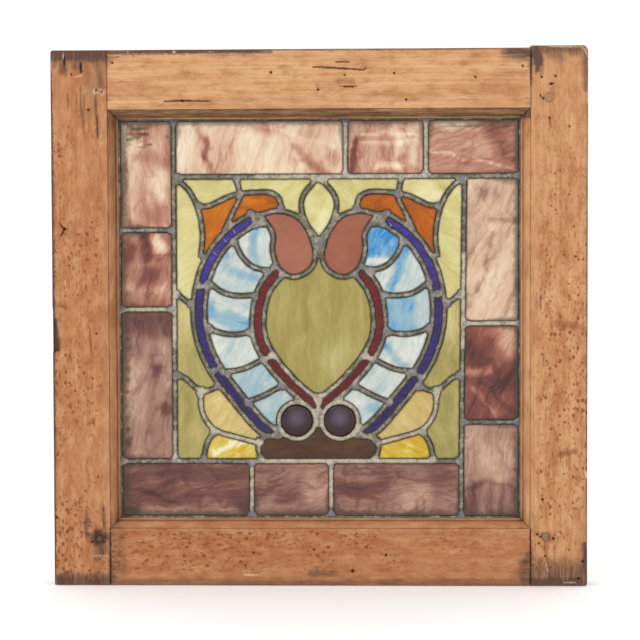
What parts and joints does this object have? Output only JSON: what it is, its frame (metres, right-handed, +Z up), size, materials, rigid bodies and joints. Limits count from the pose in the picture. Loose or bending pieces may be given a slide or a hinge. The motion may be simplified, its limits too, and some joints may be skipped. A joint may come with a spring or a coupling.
{
  "type": "stained glass window",
  "caption": "Square leaded glass window in an old pine sash: a pair of curling petal wreaths round a teardrop, inside a border of mauve glass.",
  "frame": {"origin": "underside of the bottom rail, at its middle along X and at the middle of the sash's thickness", "axes": "+Z up the window, +X to the right seen from the front, the front faces -Y"},
  "size_m": [0.534, 0.035, 0.5375],
  "materials": {
    "wood": "old pine, waxed and worn, matt",
    "putty": "hard linseed putty, matt and grimy",
    "lead": "grey lead and solder, dull, worn bright on the crowns",
    "border_glass": "mauve and cream streaky opalescent glass, rolled",
    "ground_glass": "yellow green opalescent glass",
    "orange_glass": "amber orange glass",
    "terracotta_glass": "matt terracotta opalescent glass",
    "petal_glass": "white glass with sky blue streaks",
    "blue_glass": "deep cobalt violet glass",
    "red_glass": "deep ruby red glass, for the narrow ribbons in the visual model",
    "olive_glass": "olive yellow streaky glass",
    "straw_glass": "straw yellow opalescent glass",
    "yellow_glass": "bright yellow streaky glass",
    "brown_glass": "dark brown glass",
    "jewel_glass": "dark plum domed jewel glass"
  },
  "bodies": {
    "root": {"left_stile": "wood", "right_stile": "wood", "top_rail": "wood", "bottom_rail": "wood", "putty_bead": "putty", "lead_net": "lead", "ground_upper_sliver_left": "ground_glass", "ground_upper_sliver_right": "ground_glass", "ground_top_left": "ground_glass", "ground_top_right": "ground_glass", "ground_inner_left": "ground_glass", "ground_inner_right": "ground_glass", "ground_middle_left": "ground_glass", "ground_middle_right": "ground_glass", "ground_lower_left": "ground_glass", "ground_lower_right": "ground_glass", "leaf_outer_left": "orange_glass", "leaf_outer_right": "orange_glass", "leaf_inner_left": "orange_glass", "leaf_inner_right": "orange_glass", "comma_left": "terracotta_glass", "comma_right": "terracotta_glass", "petal_1_left": "petal_glass", "petal_1_right": "petal_glass", "petal_2_left": "petal_glass", "petal_2_right": "petal_glass", "petal_3_left": "petal_glass", "petal_3_right": "petal_glass", "petal_4_left": "petal_glass", "petal_4_right": "petal_glass", "petal_5_left": "petal_glass", "petal_5_right": "petal_glass", "petal_6_left": "petal_glass", "petal_6_right": "petal_glass", "ribbon_upper_left": "blue_glass", "ribbon_upper_right": "blue_glass", "ribbon_middle_left": "blue_glass", "ribbon_middle_right": "blue_glass", "kidney_left": "straw_glass", "kidney_right": "straw_glass", "corner_yellow_left": "yellow_glass", "corner_yellow_right": "yellow_glass", "almond": "ground_glass", "teardrop": "olive_glass", "base_brown": "brown_glass", "border_top_long": "border_glass", "border_top_short": "border_glass", "border_top_corner": "border_glass", "border_right_upper": "border_glass", "border_right_middle": "border_glass", "border_right_lower": "border_glass", "border_foot_right": "border_glass", "border_foot_middle": "border_glass", "border_foot_corner": "border_glass", "border_left_lower": "border_glass", "border_left_middle": "border_glass", "border_left_top": "border_glass", "jewel_left": "jewel_glass", "jewel_right": "jewel_glass"}
  },
  "joints": []
}
